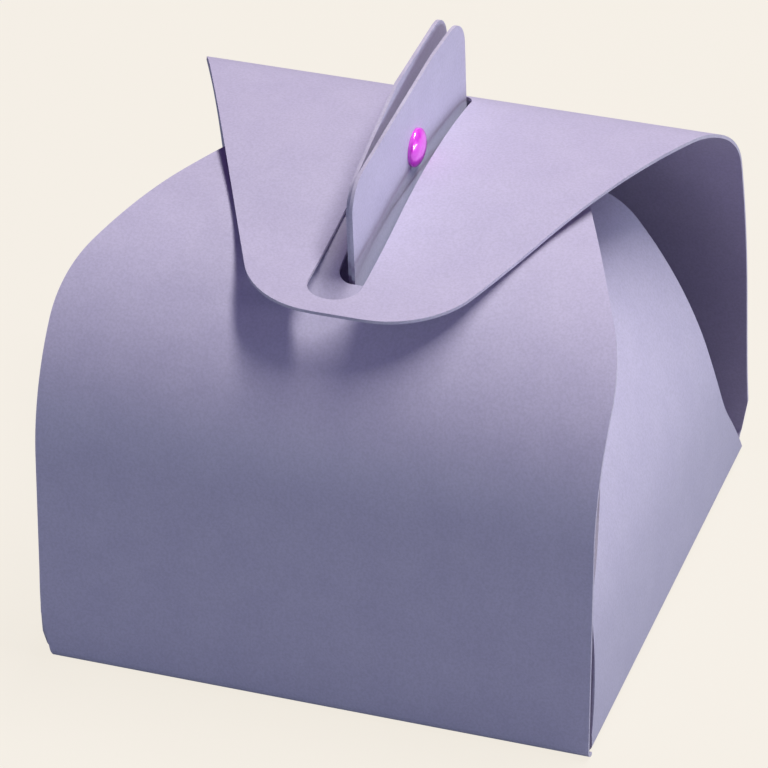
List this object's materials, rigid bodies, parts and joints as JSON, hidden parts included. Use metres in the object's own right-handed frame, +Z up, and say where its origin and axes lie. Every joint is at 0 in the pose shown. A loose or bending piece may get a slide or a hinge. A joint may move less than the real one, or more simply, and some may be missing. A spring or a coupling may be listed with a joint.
{
  "type": "card favour box",
  "caption": "Small square card gift box with bowed walls, overlapping slotted top flaps and an upright handle with a pearl dot.",
  "frame": {"origin": "on the floor under the middle of the box's outer bounds", "axes": "+Z up, +X to the right of someone facing the front panel, front panel towards -Y"},
  "size_m": [0.0768, 0.076, 0.0709],
  "materials": {
    "card": "matte",
    "pearl": "gloss"
  },
  "bodies": {
    "carton": {"base_panel": "card", "front_wall": "card", "back_wall": "card", "left_wall": "card", "right_wall": "card"},
    "lid": {"lid_flap": "card"},
    "front_top": {"front_flap": "card"},
    "left_handle": {"left_handle_tab": "card"},
    "right_handle": {"right_handle_tab": "card", "half_pearl": "pearl"}
  },
  "joints": [
    {"name": "lid_lift", "type": "hinge", "parent": "carton", "child": "lid", "pos_m": [0, 0.02818, 0.05517], "axis": [-1, 0, 0], "range_deg": [0, 110]},
    {"name": "front_flap_rise", "type": "hinge", "parent": "carton", "child": "front_top", "pos_m": [0, -0.02674, 0.04768], "axis": [1, 0, 0], "range_deg": [0, 4.4]},
    {"name": "right_handle_lean", "type": "hinge", "parent": "carton", "child": "right_handle", "pos_m": [0.00185, 0.0038, 0.04708], "axis": [0.0314, 0.9995, 0], "range_deg": [0, 2.5]},
    {"name": "left_handle_lean", "type": "hinge", "parent": "carton", "child": "left_handle", "pos_m": [-0.00142, 0.0038, 0.04708], "axis": [0.0105, -0.9999, 0], "range_deg": [0, 3]}
  ],
  "couplings": [
    {"joint": "front_flap_rise", "follows": "lid_lift", "ratio": 0.04}
  ]
}
